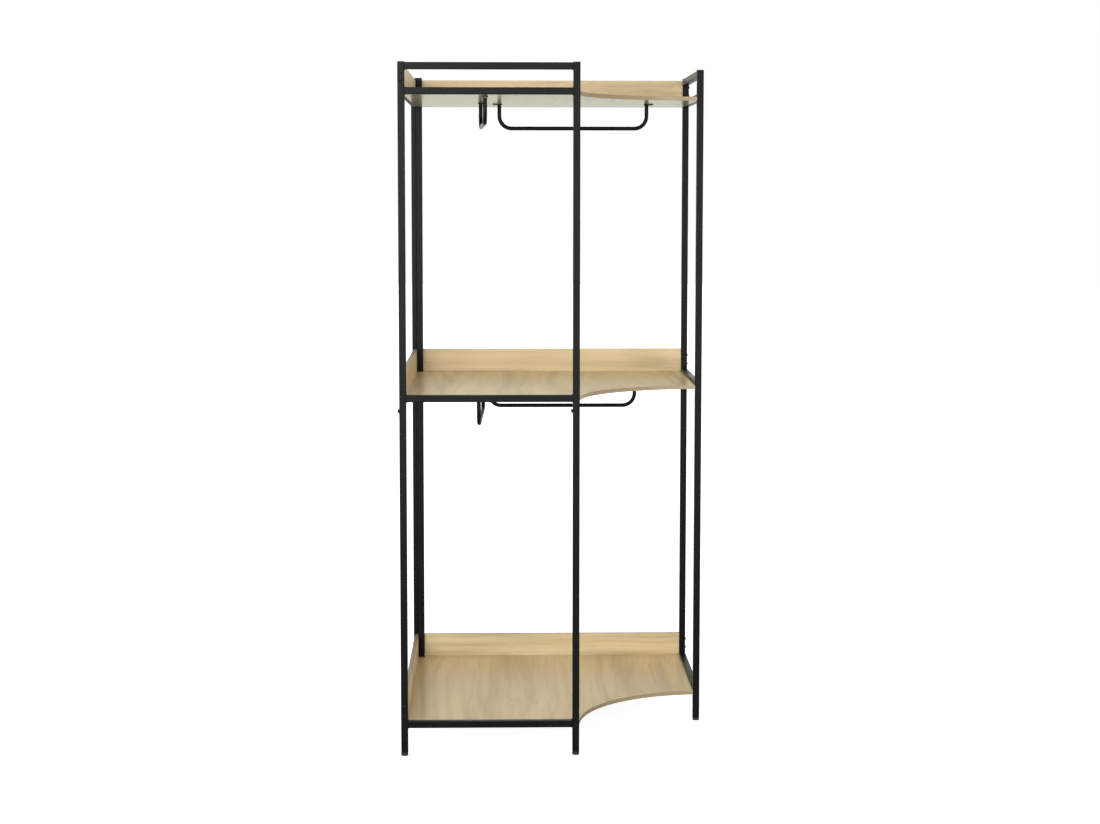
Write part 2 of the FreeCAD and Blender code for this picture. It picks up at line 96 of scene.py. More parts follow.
def mixed_colour(tree, share, first, second):
    """The first colour, with a share of the second in its place."""
    return shader_node(tree, "ShaderNodeMix", [
        (0, share), (6, first), (7, second)], data_type="RGBA").outputs[2]


def noise(tree, place, per_metre, detail, roughness=0.5):
    """A cloudy pattern with so many patches to a metre. Most of it lies in the range usual_noise."""
    return shader_node(tree, "ShaderNodeTexNoise", [
        ("Vector", place), ("Scale", per_metre), ("Detail", detail), ("Roughness", roughness)]).outputs[0]


def relief(tree, height, depth, strength):
    """The normal of a surface that rises and falls with a pattern."""
    return shader_node(tree, "ShaderNodeBump", [
        ("Strength", strength), ("Distance", depth), ("Height", height)]).outputs[0]


def shader_group(name, takes, gives):
    """An empty shader group with its named inputs and outputs, and the sockets at its two ends."""
    group = bpy.data.node_groups.new(name, "ShaderNodeTree")
    for label, value in takes:
        kind = "NodeSocketVector" if value is None else "NodeSocketFloat"
        socket = group.interface.new_socket(label, in_out="INPUT", socket_type=kind)
        if value is not None:
            socket.default_value = value
    for label in gives:
        group.interface.new_socket(label, in_out="OUTPUT", socket_type="NodeSocketFloat")
    return group, group.nodes.new("NodeGroupInput").outputs, group.nodes.new("NodeGroupOutput").inputs


def placed_group(tree, group, inputs=()):
    """A shader group put into a material with its own values."""
    node = tree.nodes.new("ShaderNodeGroup")
    node.node_tree = group
    for socket, value in inputs:
        if isinstance(value, bpy.types.NodeSocket):
            tree.links.new(value, node.inputs[socket])
        else:
            node.inputs[socket].default_value = value
    return node.outputs


def new_material(name):
    """A material with only its Principled shader, and the tree that it stands in."""
    material = bpy.data.materials.new(name)
    material.use_nodes = True
    return material, material.node_tree, material.node_tree.nodes["Principled BSDF"]


def feed(tree, shader, **outputs):
    """Links outputs to the shader's sockets: base_color, roughness and so on."""
    for socket, output in outputs.items():
        tree.links.new(output, shader.inputs[socket.replace("_", " ").title()])


def dress(node_names, material):
    """Puts a material on CAD nodes that keep their shape."""
    for name in node_names:
        for slot in nodes[name].material_slots:
            slot.link = "OBJECT"
            slot.material = material


def edge_wear_and_highlight_group():
    """Marks the rounded edges of square pieces: there the surface turns away from every axis. There the coat
    is painted lighter, partly for thin powder and partly as a painted highlight.
    """
    group, given, put = shader_group("Edge wear", [("Unevenness", 0.5), ("Patch size", edge_mark_patch)], ["Edge"])
    coordinates = shader_node(group, "ShaderNodeTexCoord").outputs
    facing = shader_node(
        group, "ShaderNodeVectorMath", [(0, coordinates["Normal"])], operation="ABSOLUTE").outputs[0]
    part = shader_node(group, "ShaderNodeSeparateXYZ", [(0, facing)]).outputs
    largest = arithmetic(group, "MAXIMUM", arithmetic(group, "MAXIMUM", part[0], part[1]), part[2])
    turned = spread(group, largest, flat_facing, edge_facing)
    per_metre = arithmetic(group, "DIVIDE", 1.0, given["Patch size"])
    patches = noise(group, coordinates["Object"], per_metre, detail=3.0)
    uneven = arithmetic(group, "MULTIPLY_ADD", patches, given["Unevenness"], 0.5)
    group.links.new(arithmetic(group, "MULTIPLY", turned, uneven, use_clamp=True), put["Edge"])
    return group


def powder_skin_group():
    """The skin of melted powder: slow changes of tone, a satin gloss that varies, and a fine ripple."""
    least, most = frame_roughness
    group, given, put = shader_group(
        "Powder skin", [("Ripple size", ripple_size), ("Least roughness", least), ("Most roughness", most)],
        ["Tone", "Roughness", "Ripple"])
    place = shader_node(group, "ShaderNodeTexCoord").outputs["Object"]
    per_metre = arithmetic(group, "DIVIDE", 1.0, given["Ripple size"])
    ripple = noise(group, place, per_metre, detail=2.0, roughness=0.45)
    clouds = noise(group, place, powder_clouds_per_metre, detail=4.0, roughness=0.6)
    tone = spread(group, clouds, *powder_cloud_range)
    gloss = arithmetic(group, "MULTIPLY", tone, ripple)
    rough = spread(group, gloss, *powder_gloss_range, given["Least roughness"], given["Most roughness"])
    group.links.new(tone, put["Tone"])
    group.links.new(rough, put["Roughness"])
    group.links.new(ripple, put["Ripple"])
    return group


edge_wear_and_highlight = edge_wear_and_highlight_group()
powder_skin = powder_skin_group()


def powder_coat(name, dark, light, edge_light, roughness):
    """Powder coated steel: the skin's two tones, a lighter one on the edges that stands partly for thinner
    powder and partly for a painted highlight, and the least and most roughness."""
    material, tree, shader = new_material(name)
    skin = placed_group(
        tree, powder_skin, [("Least roughness", roughness[0]), ("Most roughness", roughness[1])])
    tone = mixed_colour(tree, skin["Tone"], dark, light)
    # The edges are painted lighter: partly thin powder, partly a painted highlight.
    worn_and_highlit = mixed_colour(tree, placed_group(tree, edge_wear_and_highlight)["Edge"], tone, edge_light)
    ripple = relief(tree, skin["Ripple"], ripple_depth, ripple_strength)
    feed(tree, shader, base_color=worn_and_highlit, roughness=skin["Roughness"], normal=ripple)
    shader.inputs["Specular IOR Level"].default_value = powder_specular
    return material


frame_coat = powder_coat(
    "Satin black powder coat", powder_black, powder_grey, powder_edge_and_highlight, frame_roughness)
tube_nodes = [n for n in nodes if n.endswith(("_post_upper", "_post_lower", "_bar"))]
dress(tube_nodes + ["corner_tie_plates"], frame_coat)


# Welds of the end frames.
# Each bar end is joined to its post by a short bead above and below, laid in overlapping ripples.
# The beads are powder coated with the frame, so they are as black as the tube.
bead_leg = 0.002
bead_inset = 0.0022
bead_bite = bead_leg / 6
bead_pitch = 0.0014
bead_waist = 0.86
bead_segments = 12
cut_tolerance = 1e-7
level_names = ("bottom", "middle", "top", "guard")
smooth_turn = math.radians(35)


def ridged_rod(bm, base, run, length, radius, pitch, waist, segments):
    """A round rod with even ridges all along it, whose waists are a share of its radius."""
    ridges = round(length / pitch)
    half_pitch = run * length / ridges / 2
    turn = run.to_track_quat("Z", "Y").to_matrix().to_4x4()
    ring = bmesh.ops.create_circle(
        bm, segments=segments, radius=radius, cap_ends=True, matrix=Matrix.Translation(base) @ turn)
    piece = list(ring["verts"])
    face = next(f for v in ring["verts"] for f in v.link_faces)
    for step, size in enumerate((waist, 1 / waist) * ridges, start=1):
        grown = bmesh.ops.extrude_face_region(bm, geom=[face, *face.edges, *face.verts])
        verts = [g for g in grown["geom"] if isinstance(g, bmesh.types.BMVert)]
        face = next(g for g in grown["geom"] if isinstance(g, bmesh.types.BMFace))
        bmesh.ops.translate(bm, verts=verts, vec=half_pitch)
        middle = base + half_pitch * step
        bmesh.ops.scale(bm, verts=verts, vec=Vector((size,) * 3), space=Matrix.Translation(-middle))
        piece.extend(verts)
    return piece


def lay_bead(bm, corner, run, length, post_side, bar_side):
    """One bead along a corner: a rope of ripples, cut off where it would run into the steel."""
    piece = ridged_rod(bm, corner, run, length, bead_leg, bead_pitch, bead_waist, bead_segments)
    for side in (post_side, bar_side):
        whole = dict.fromkeys(g for v in piece if v.is_valid for g in [v, *v.link_edges, *v.link_faces])
        cut = bmesh.ops.bisect_plane(
            bm, geom=list(whole), dist=cut_tolerance, plane_co=corner - side * bead_bite,
            plane_no=-side, clear_outer=True)
        edges = [g for g in cut["geom_cut"] if isinstance(g, bmesh.types.BMEdge)]
        bmesh.ops.holes_fill(bm, edges=edges)
        left = dict.fromkeys([*cut["geom"], *cut["geom_cut"]])
        piece = [g for g in left if isinstance(g, bmesh.types.BMVert)]


def finished_piece(name, bm, material, body="frame"):
    """Turns a bmesh into a piece of the object that rides on a body."""
    bmesh.ops.recalc_face_normals(bm, faces=bm.faces)
    mesh = bpy.data.meshes.new(name)
    bm.to_mesh(mesh)
    bm.free()
    mesh.materials.append(material)
    mesh.shade_smooth()
    mesh.set_sharp_from_angle(angle=smooth_turn)
    piece = bpy.data.objects.new(name, mesh)
    bpy.context.scene.collection.objects.link(piece)
    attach(piece, body)
    return piece


def end_frame_beads(side, along, across):
    """All the beads of one end frame, whose bars run along one axis and are square to the other."""
    bm = bmesh.new()
    for level in level_names:
        low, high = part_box("{}_{}_bar".format(side, level))
        length = (high - low).dot(across) - 2 * bead_inset
        for end, away in ((low, 1), (high, -1)):
            for edge, up in ((low, -1), (high, 1)):
                if level == "guard" and up > 0:
                    continue
                start = low + across * bead_inset
                start[along] = end[along]
                start.z = edge.z
                post_side = Vector((0, 0, 0))
                post_side[along] = away
                lay_bead(bm, start, across, length, post_side, Vector((0, 0, up)))
    cut_faces = [face for face in bm.faces if len(face.verts) > 4]
    bmesh.ops.triangulate(bm, faces=cut_faces, ngon_method="BEAUTY")
    return bm


for side, along, across in (("front", 0, Vector((0, 1, 0))), ("side", 1, Vector((1, 0, 0)))):
    beads = finished_piece(
        "{}_frame_weld_beads".format(side), end_frame_beads(side, along, across), frame_coat)
    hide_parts("{}_frame_welds".format(side))


# Joints in the posts.
# The upper and lower tubes meet on a zinc plated inner sleeve with a nut welded in it.
# A black flanged bolt with a hexagon socket pins each post; it stands proud on the outer side.
zinc_grey = (0.56, 0.57, 0.58, 1)
zinc_roughness = 0.32
screw_black = (0.028, 0.028, 0.029, 1)
screw_roughness = 0.46
plate_clouds_per_metre = 180.0
passivated_share = 0.72
plate_gloss_swing = (-0.06, 0.08)
turning_marks_per_metre = 2400.0
turning_mark_depth = 0.00002
turning_mark_strength = 0.2
bolt_head_radius = 0.005
bolt_head_height = 0.005
bolt_top_radius = 0.0043
bolt_edge_height = 0.0045
flange_radius = 0.0062
flange_root_height = 0.00144
flange_edge_height = 0.00084
bolt_shank_radius = 0.003
bolt_shank_length = 0.01
bolt_rise = 0.012
bolt_socket = (0.0027, 0.0028, "hexagon")
head_segments = 30
socket_corners = {"hexagon": 6, "cross": 12}
socket_turn = math.radians(15)
cross_waist = 0.366
cross_taper = 0.5


def plated_steel(name, colour, roughness):
    """Plated steel: a metal with faint turning marks and cloudy passivation."""
    material, tree, shader = new_material(name)
    place = shader_node(tree, "ShaderNodeTexCoord").outputs["Object"]
    clouds = noise(tree, place, plate_clouds_per_metre, detail=3.0)
    marks = noise(tree, place, turning_marks_per_metre, detail=2.0)
    passivated = tuple(c * passivated_share for c in colour[:3]) + (1,)
    tone = mixed_colour(tree, clouds, colour, passivated)
    rough = spread(tree, clouds, *usual_noise, *(roughness + swing for swing in plate_gloss_swing))
    turned = relief(tree, marks, turning_mark_depth, turning_mark_strength)
    feed(tree, shader, base_color=tone, roughness=rough, normal=turned)
    shader.inputs["Metallic"].default_value = 1.0
    return material


zinc_plate = plated_steel("Zinc plate", zinc_grey, zinc_roughness)
black_plate = plated_steel("Black plated screw steel", screw_black, screw_roughness)
dress(["joint_sleeves", "joint_nuts"], zinc_plate)


def grown_edges(bm, edges):
    """Extrudes a ring of edges where it lies, and gives the new ring's vertices and edges."""
    grown = bmesh.ops.extrude_edge_only(bm, edges=edges)["geom"]
    verts = [g for g in grown if isinstance(g, bmesh.types.BMVert)]
    ring = [g for g in grown if isinstance(g, bmesh.types.BMEdge) and all(v in verts for v in g.verts)]
    return verts, ring


def socket_fastener(bm, steps, socket, place, direction):
    """A turned fastener with a driver's socket in its head. Steps are radius and height pairs from
    the head's flat top down; height zero is the face that the head sits on, and it grows outwards.
    The socket has a radius, a depth and a kind, hexagon or cross."""
    socket_radius, socket_depth, kind = socket
    top_radius, top_height = steps[0]
    before = set(bm.verts)
    rim = bmesh.ops.create_circle(bm, segments=head_segments, radius=top_radius)["verts"]
    mouth = bmesh.ops.create_circle(
        bm, segments=socket_corners[kind], radius=socket_radius,
        matrix=Matrix.Rotation(socket_turn, 4, "Z"))["verts"]
    if kind == "cross":
        inner_corners = [v for v in mouth if min(abs(v.co.x), abs(v.co.y)) > socket_radius / 2]
        bmesh.ops.scale(bm, verts=inner_corners, vec=(cross_waist, cross_waist, 1))
    bmesh.ops.translate(bm, verts=rim + mouth, vec=(0, 0, top_height))
    rim_edges = list(dict.fromkeys(e for v in rim for e in v.link_edges))
    mouth_edges = list(dict.fromkeys(e for v in mouth for e in v.link_edges))
    bmesh.ops.triangle_fill(bm, edges=rim_edges + mouth_edges, use_beauty=True)
    floor_verts, floor_edges = grown_edges(bm, mouth_edges)
    if kind == "cross":
        bmesh.ops.scale(bm, verts=floor_verts, vec=(cross_taper, cross_taper, 1))
    bmesh.ops.translate(bm, verts=floor_verts, vec=(0, 0, -socket_depth))
    bmesh.ops.holes_fill(bm, edges=floor_edges)
    edges = rim_edges
    for (radius, height), (next_radius, next_height) in zip(steps, steps[1:]):
        verts, edges = grown_edges(bm, edges)
        share = next_radius / radius
        bmesh.ops.scale(bm, verts=verts, vec=(share, share, 1))
        bmesh.ops.translate(bm, verts=verts, vec=(0, 0, next_height - height))
    bmesh.ops.holes_fill(bm, edges=edges)
    new = [v for v in bm.verts if v not in before]
    turn = direction.to_track_quat("Z", "Y").to_matrix().to_4x4()
    bmesh.ops.transform(bm, matrix=Matrix.Translation(place) @ turn, verts=new)


def joint_bolts():
    """The bolts of all six posts, each on the middle of its post's face just above the split."""
    bm = bmesh.new()
    steps = [(bolt_top_radius, bolt_head_height), (bolt_head_radius, bolt_edge_height),
             (bolt_head_radius, flange_root_height), (flange_radius, flange_edge_height),
             (flange_radius, 0), (bolt_shank_radius, 0), (bolt_shank_radius, -bolt_shank_length)]
    left, back, front = (Vector(v) for v in ((-1, 0, 0), (0, 1, 0), (0, -1, 0)))
    for post, outwards in (("front_left", left), ("front_middle", left), ("side_back", back),
                           ("side_front", back), ("corner_outer", left), ("corner_inner", front)):
        low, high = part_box(post + "_post_upper")
        place = (low + high) / 2
        place += outwards * (high - low).dot(Vector(map(abs, outwards))) / 2
        place.z = low.z + bolt_rise
        socket_fastener(bm, steps, bolt_socket, place, outwards)
    return bm


bolts = finished_piece("joint_socket_bolts", joint_bolts(), black_plate)
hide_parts("joint_bolts")


# Shelves and edge boards.
# Particle board faced with light oak laminate, its grain along each board, and edged with a printed band.
# The shelves' undersides have a tan backing paper and the boards' lower edges are left raw; both face down,
# and their dark colours are partly painted shade.
shelf_tones = ((0.460, 0.323, 0.140, 1), (0.602, 0.443, 0.208, 1), (0.695, 0.530, 0.266, 1))
panel_tones = ((0.408, 0.311, 0.158, 1), (0.533, 0.423, 0.234, 1), (0.615, 0.501, 0.292, 1))
shelf_contrast = 1.65
panel_contrast = 1.6
shelf_roughness = (0.28, 0.34)
panel_roughness = (0.34, 0.42)
panel_print_scale = (1.5, 2.2, 2.2)
oak_rosy = (0.672, 0.492, 0.262, 1)
line_brown = (0.330, 0.225, 0.115, 1)
band_brown = (0.215, 0.158, 0.094, 1)
# The backing tan and the raw edge grey are partly painted shade on faces that point down.
backing_tan_and_shade = (0.175, 0.165, 0.100, 1)
raw_edge_and_shade = (0.080, 0.074, 0.066, 1)
glue_line = (0.17, 0.115, 0.065, 1)
glue_line_width = 0.0004
glue_line_depth = 0.001
board_face_facing = 0.75
board_edge_facing = 0.6
underside_facing = (-0.6, -0.8)
backing_gloss = -0.08
raw_dullness = 0.7
grain_drift = 0.14
print_balance = -0.72
tone_ends = (0.1, 0.9)
print_slide = 0.37
quarter_turn = math.radians(90)


def oak_print_group():
    """The printed oak: broad soft bands that wander along X, long arched rings and thin darker lines."""
    group, given, put = shader_group(
        "Oak print", [("Place", None), ("Contrast", 1.0)], ["Tone", "Warmth", "Lines", "Gloss"])

    def stretched(place, along, across):
        return shader_node(group, "ShaderNodeVectorMath", [
            (0, place), (1, (along, across, across))], operation="MULTIPLY").outputs[0]

    def fibres(place, along, across, detail):
        return noise(group, stretched(place, along, across), 1.0, detail)

    def between(value, low, high):
        return spread(group, value, low, high, interpolation_type="SMOOTHSTEP")

    wander = fibres(given["Place"], along=1.3, across=3.0, detail=1.0)
    drift = arithmetic(group, "MULTIPLY_ADD", wander, grain_drift, -grain_drift / 2)
    sideways = shader_node(group, "ShaderNodeCombineXYZ", [(1, drift), (2, drift)]).outputs[0]
    place = shader_node(
        group, "ShaderNodeVectorMath", [(0, given["Place"]), (1, sideways)], operation="ADD").outputs[0]
    bands = fibres(place, along=0.9, across=17.0, detail=1.0)
    narrow = fibres(place, along=2.2, across=70.0, detail=2.0)
    streaks = fibres(place, along=9.0, across=420.0, detail=1.0)
    lines = fibres(place, along=1.6, across=130.0, detail=1.0)
    warm_patches = fibres(place, along=0.8, across=7.0, detail=1.0)
    arched_patches = fibres(place, along=0.7, across=5.0, detail=0.0)
    rings = shader_node(group, "ShaderNodeTexWave", [
        ("Vector", stretched(place, along=0.9, across=8.0)), ("Scale", 0.95), ("Distortion", 3.0),
        ("Detail", 2.0), ("Detail Scale", 0.7)],
        wave_type="RINGS", rings_direction="Z", wave_profile="SIN").outputs[1]
    arches = arithmetic(
        group, "MULTIPLY", between(rings, 0.25, 1.0), between(arched_patches, 0.47, 0.60))
    total = print_balance
    for pattern, share in ((arches, -0.17), (bands, 0.90), (narrow, 0.42), (streaks, 0.10)):
        total = arithmetic(group, "MULTIPLY_ADD", pattern, share, total)
    tone = arithmetic(group, "MULTIPLY_ADD", total, given["Contrast"], 0.5, use_clamp=True)
    group.links.new(tone, put["Tone"])
    group.links.new(between(warm_patches, 0.38, 0.62), put["Warmth"])
    group.links.new(between(lines, 0.60, 0.74), put["Lines"])
    group.links.new(streaks, put["Gloss"])
    return group


oak_print = oak_print_group()


def board_masks(tree, coordinates, low, high):
    """Where a board with these corners is edge and not face, where it faces down, and where the glue
    line beside its face shows on the edge."""
    at = shader_node(tree, "ShaderNodeSeparateXYZ", [(0, coordinates["Object"])]).outputs
    facing = shader_node(tree, "ShaderNodeSeparateXYZ", [(0, coordinates["Normal"])]).outputs
    thin = min(range(3), key=lambda axis: high[axis] - low[axis])
    edge = spread(tree, arithmetic(tree, "ABSOLUTE", facing[thin]), board_face_facing, board_edge_facing)
    below = spread(tree, facing[2], *underside_facing)
    middle = (low[thin] + high[thin]) / 2
    half = (high[thin] - low[thin]) / 2
    off_middle = arithmetic(tree, "ABSOLUTE", arithmetic(tree, "SUBTRACT", at[thin], middle))
    line = arithmetic(tree, "COMPARE", off_middle, half - glue_line_depth, glue_line_width / 2)
    return edge, below, arithmetic(tree, "MULTIPLY", line, edge)


def grain_place(tree, coordinates, edge, grain_turn, offset, print_scale):
    """Where each point lies on the print: on a face turned, slid and scaled, and along a band's run."""
    laid = shader_node(tree, "ShaderNodeMapping", [
        ("Vector", coordinates["Object"]), ("Location", offset), ("Rotation", (0, 0, grain_turn))]).outputs[0]
    laid = shader_node(
        tree, "ShaderNodeVectorMath", [(0, laid), (1, print_scale)], operation="MULTIPLY").outputs[0]
    at = shader_node(tree, "ShaderNodeSeparateXYZ", [(0, coordinates["Object"])]).outputs
    round_edge = arithmetic(tree, "ADD", at[0], at[1])
    on_band = shader_node(tree, "ShaderNodeCombineXYZ", [(0, round_edge), (1, at[2])]).outputs[0]
    return shader_node(tree, "ShaderNodeMix", [
        (0, edge), (4, laid), (5, on_band)], data_type="VECTOR").outputs[1]


def laminate(name, low, high, tones, grain_turn, offset, print_scale, contrast, gloss):
    """Oak laminate for one board: low and high are the board's corners, tones are the print's dark,
    middle and light colours, grain_turn lays its X along the grain, offset slides it so that no two
    boards match, print_scale makes it finer, and gloss is the least and most roughness."""
    material, tree, shader = new_material(name)
    coordinates = shader_node(tree, "ShaderNodeTexCoord").outputs
    edge, below, glued = board_masks(tree, coordinates, low, high)
    # The boards' lower edges: raw board, darkened partly as painted shade.
    raw_shaded_edge = arithmetic(tree, "MULTIPLY", below, edge)
    grain = grain_place(tree, coordinates, edge, grain_turn, offset, print_scale)
    oak = placed_group(tree, oak_print, [("Place", grain), ("Contrast", contrast)])
    ramp = shader_node(tree, "ShaderNodeValToRGB", [(0, oak["Tone"])])
    dark, middle, light = tones
    for element, stop, colour in zip(ramp.color_ramp.elements, tone_ends, (dark, light)):
        element.position = stop
        element.color = colour
    ramp.color_ramp.elements.new(sum(tone_ends) / 2).color = middle
    colour = ramp.outputs[0]
    # The tan on downward faces and the dark grey on lower edges are partly painted shade.
    for tint, mask, strength in (
            (oak_rosy, oak["Warmth"], 0.45), (line_brown, oak["Lines"], 0.35), (backing_tan_and_shade, below, 0.85),
            (band_brown, edge, 0.8), (raw_edge_and_shade, raw_shaded_edge, 0.9), (glue_line, glued, 0.6)):
        colour = mixed_colour(tree, arithmetic(tree, "MULTIPLY", mask, strength), colour, tint)
    rough = spread(tree, oak["Gloss"], *usual_noise, *gloss)
    rough = arithmetic(tree, "MULTIPLY_ADD", below, backing_gloss, rough)
    rough = arithmetic(tree, "MULTIPLY_ADD", raw_shaded_edge, raw_dullness, rough)
    feed(tree, shader, base_color=colour, roughness=rough)
    return material


for number, level in enumerate(level_names[:3]):
    slide = print_slide * (number + 1)
    shelf_low, shelf_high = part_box("{}_shelf".format(level))
    dress(["{}_shelf".format(level)], laminate(
        "Oak laminate, {} shelf".format(level), shelf_low, shelf_high, shelf_tones, quarter_turn,
        (slide, slide / 3, 0), (1, 1, 1), shelf_contrast, shelf_roughness))
    for side, turn in (("left", quarter_turn), ("back", 0)):
        board_low, board_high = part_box("{}_{}_panel".format(side, level))
        dress(["{}_{}_panel".format(side, level)], laminate(
            "Oak laminate, {} {} board".format(side, level), board_low, board_high, panel_tones, turn,
            (slide * 2, slide / 2, slide / 5), panel_print_scale, panel_contrast, panel_roughness))


# Screws of the boards and rods.
# Black domed screws with a hexagon socket go through the posts and bars into the boards' edges.
# Zinc plated screws with a cross recess hold the edge boards, countersunk, and the rods' plates, domed.
dome_rows = 6
dome_turn = math.radians(62)
black_shank_radius = 0.0025
zinc_shank_radius = 0.002
shank_tip_share = 0.2
black_socket = (0.0019, 0.0015, "hexagon")
board_recess = (0.0021, 0.0013, "cross")
rod_recess = (0.0017, 0.0013, "cross")
head_share = 0.97
same_place = 1e-6
countersunk_radius = 0.004
countersunk_root_radius = 0.002
countersunk_depth = 0.0022


def fastener_seats(node_name):
    """Where each screw of a CAD group sits: its seat's middle, the way its head faces and its shank's
    length. The head is the end whose radius is more than head_share of the screw's largest."""
    solids = bmesh.new()
    solids.from_mesh(nodes[node_name].data)
    bmesh.ops.remove_doubles(solids, verts=solids.verts, dist=same_place)
    waiting = set(solids.verts)
    seats = []
    while waiting:
        piece, edge_of_piece = set(), [next(iter(waiting))]
        while edge_of_piece:
            vert = edge_of_piece.pop()
            if vert not in piece:
                piece.add(vert)
                edge_of_piece.extend(e.other_vert(vert) for e in vert.link_edges)
        waiting -= piece
        low = Vector(min(v.co[i] for v in piece) for i in range(3))
        high = Vector(max(v.co[i] for v in piece) for i in range(3))
        axis = max(range(3), key=lambda i: high[i] - low[i])
        place = (low + high) / 2
        across = [i for i in range(3) if i != axis]
        radius = (high[across[0]] - low[across[0]]) / 2
        rim = [v.co[axis] for v in piece
               if math.hypot(*(v.co[i] - place[i] for i in across)) > radius * head_share]
        outwards = Vector((0, 0, 0))
        outwards[axis] = 1 if sum(rim) / len(rim) > place[axis] else -1
        seat = min(rim) if outwards[axis] > 0 else max(rim)
        tip = low[axis] if outwards[axis] > 0 else high[axis]
        place[axis] = seat
        seats.append((place, outwards, abs(seat - tip)))
    solids.free()
    return sorted(seats, key=lambda seat: tuple(round(c, 5) for c in seat[0]))


def domed_head(radius, height):
    """Steps of a domed head, from its flat top down to its seat."""
    turns = [dome_turn * (1 - row / dome_rows) for row in range(dome_rows + 1)]
    return [(radius * math.cos(turn), height * math.sin(turn) / math.sin(dome_turn)) for turn in turns]


def headed_screws(group, head, shank_radius, socket):
    """Every screw of one group: its head's steps down to the seat, then a plain pointed shank."""
    bm = bmesh.new()
    if head[-1][0] > shank_radius:
        head = head + [(shank_radius, head[-1][1])]
    for place, outwards, length in fastener_seats(group):
        shank = [(shank_radius, shank_radius - length), (shank_radius * shank_tip_share, -length)]
        socket_fastener(bm, head + shank, socket, place, outwards)
    return bm


button_head = domed_head(radius=0.0045, height=0.0026)
pan_head = domed_head(radius=0.004, height=0.0024)
countersunk_head = [(countersunk_radius, 0), (countersunk_root_radius, -countersunk_depth)]
for group, shape, head, shank_radius, socket, steel, slot in (
        ("post_screws", "domed", button_head, black_shank_radius, black_socket, black_plate, "black_screws"),
        ("shelf_screws", "domed", button_head, black_shank_radius, black_socket, black_plate, "black_screws"),
        ("board_screws", "countersunk", countersunk_head, zinc_shank_radius, board_recess,
         zinc_plate, "zinc_steel"),
        ("rod_screws", "pan_head", pan_head, zinc_shank_radius, rod_recess, zinc_plate, "zinc_steel")):
    screws = finished_piece(
        "{}_{}".format(shape, group), headed_screws(group, head, shank_radius, socket), steel)
    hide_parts(group)


# Hanging rods.
# Round steel bar bent to a U, with a screw plate welded on each end and screwed under the shelf.
# The same powder as the frame's lies smoother and a little glossier on the round bar.
rod_roughness = (0.28, 0.37)
rod_coat = powder_coat(
    "Black powder coat on round bar", powder_black, powder_grey, powder_grey, rod_roughness)
dress([n for n in nodes if n.endswith("_rod")], rod_coat)


# Caps, inserts and feet.
# The tube ends are closed with moulded black plastic caps; the levelling feet turn in plastic inserts.
# Moulded plastic has a fine spark texture and a soft sheen.
plastic_black = (0.014, 0.014, 0.015, 1)
plastic_paler = 1.5
plastic_roughness = (0.45, 0.6)
plastic_clouds_per_metre = 60.0
sparks_per_metre = 1900.0
spark_depth = 0.00005
spark_strength = 0.3
stud_radius = 0.004
thread_pitch = 0.00125
thread_waist = 0.87
thread_segments = 20


def moulded_plastic(name, colour):
    """Black moulded plastic with a fine spark eroded texture."""
    material, tree, shader = new_material(name)
    place = shader_node(tree, "ShaderNodeTexCoord").outputs["Object"]
    sparks = shader_node(
        tree, "ShaderNodeTexVoronoi", [("Vector", place), ("Scale", sparks_per_metre)]).outputs[0]
    clouds = noise(tree, place, plastic_clouds_per_metre, detail=3.0)
    paler = tuple(c * plastic_paler for c in colour[:3]) + (1,)
    tone = mixed_colour(tree, clouds, colour, paler)
    rough = spread(tree, clouds, *usual_noise, *plastic_roughness)
    spark_relief = relief(tree, sparks, spark_depth, spark_strength)
    feed(tree, shader, base_color=tone, roughness=rough, normal=spark_relief)
    return material


black_plastic = moulded_plastic("Moulded black plastic", plastic_black)
dress(["end_caps", "foot_inserts"] + [n for n in nodes if n.endswith("_foot_pad")], black_plastic)
up = Vector((0, 0, 1))
for stud in [n for n in nodes if n.endswith("_foot_stud")]:
    low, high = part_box(stud)
    base = (low + high) / 2
    base.z = low.z
    thread = bmesh.new()
    ridged_rod(thread, base, up, high.z - low.z, stud_radius, thread_pitch, thread_waist, thread_segments)
    piece = finished_piece(stud.replace("stud", "thread"), thread, zinc_plate, body=stud.replace("_stud", ""))
    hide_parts(stud)


# Studio.
# A white seamless floor in an evenly white room, with a lit backdrop behind and wide soft lights in front.
# The floor lies as low as the feet reach when they are screwed out, so that it hides none of them.
floor_half = 30.0
floor_drop = max(joint["range_m"][1] for joint in frame["joints"])
floor_greys = ((0.55, 0.55, 0.55, 1), (0.58, 0.58, 0.58, 1))
floor_roughness = 0.8
floor_clouds_per_metre = 1.5
seen_glow = {"near": (0.6, 0.88), "far": (2.5, 1.0)}
bounced_glow = {"near": (2.0, 0.05), "far": (7.0, 0.50)}
bounced_tint = (1.0, 1.0, 0.84, 1)
white = (1.0, 1.0, 1.0, 1)
room_grey = (0.70, 0.70, 0.70, 1)
backdrop_light = (1.46, 1.54, 1.16, 1)
backdrop_edge = 0.965
backdrop_middle = 0.999


def floor_glow(tree, away, glow):
    """The floor's own light, which grows from the near distance's strength to the far one's."""
    (near, near_strength), (far, far_strength) = glow["near"], glow["far"]
    return spread(tree, away, near, far, near_strength, far_strength, interpolation_type="SMOOTHSTEP")


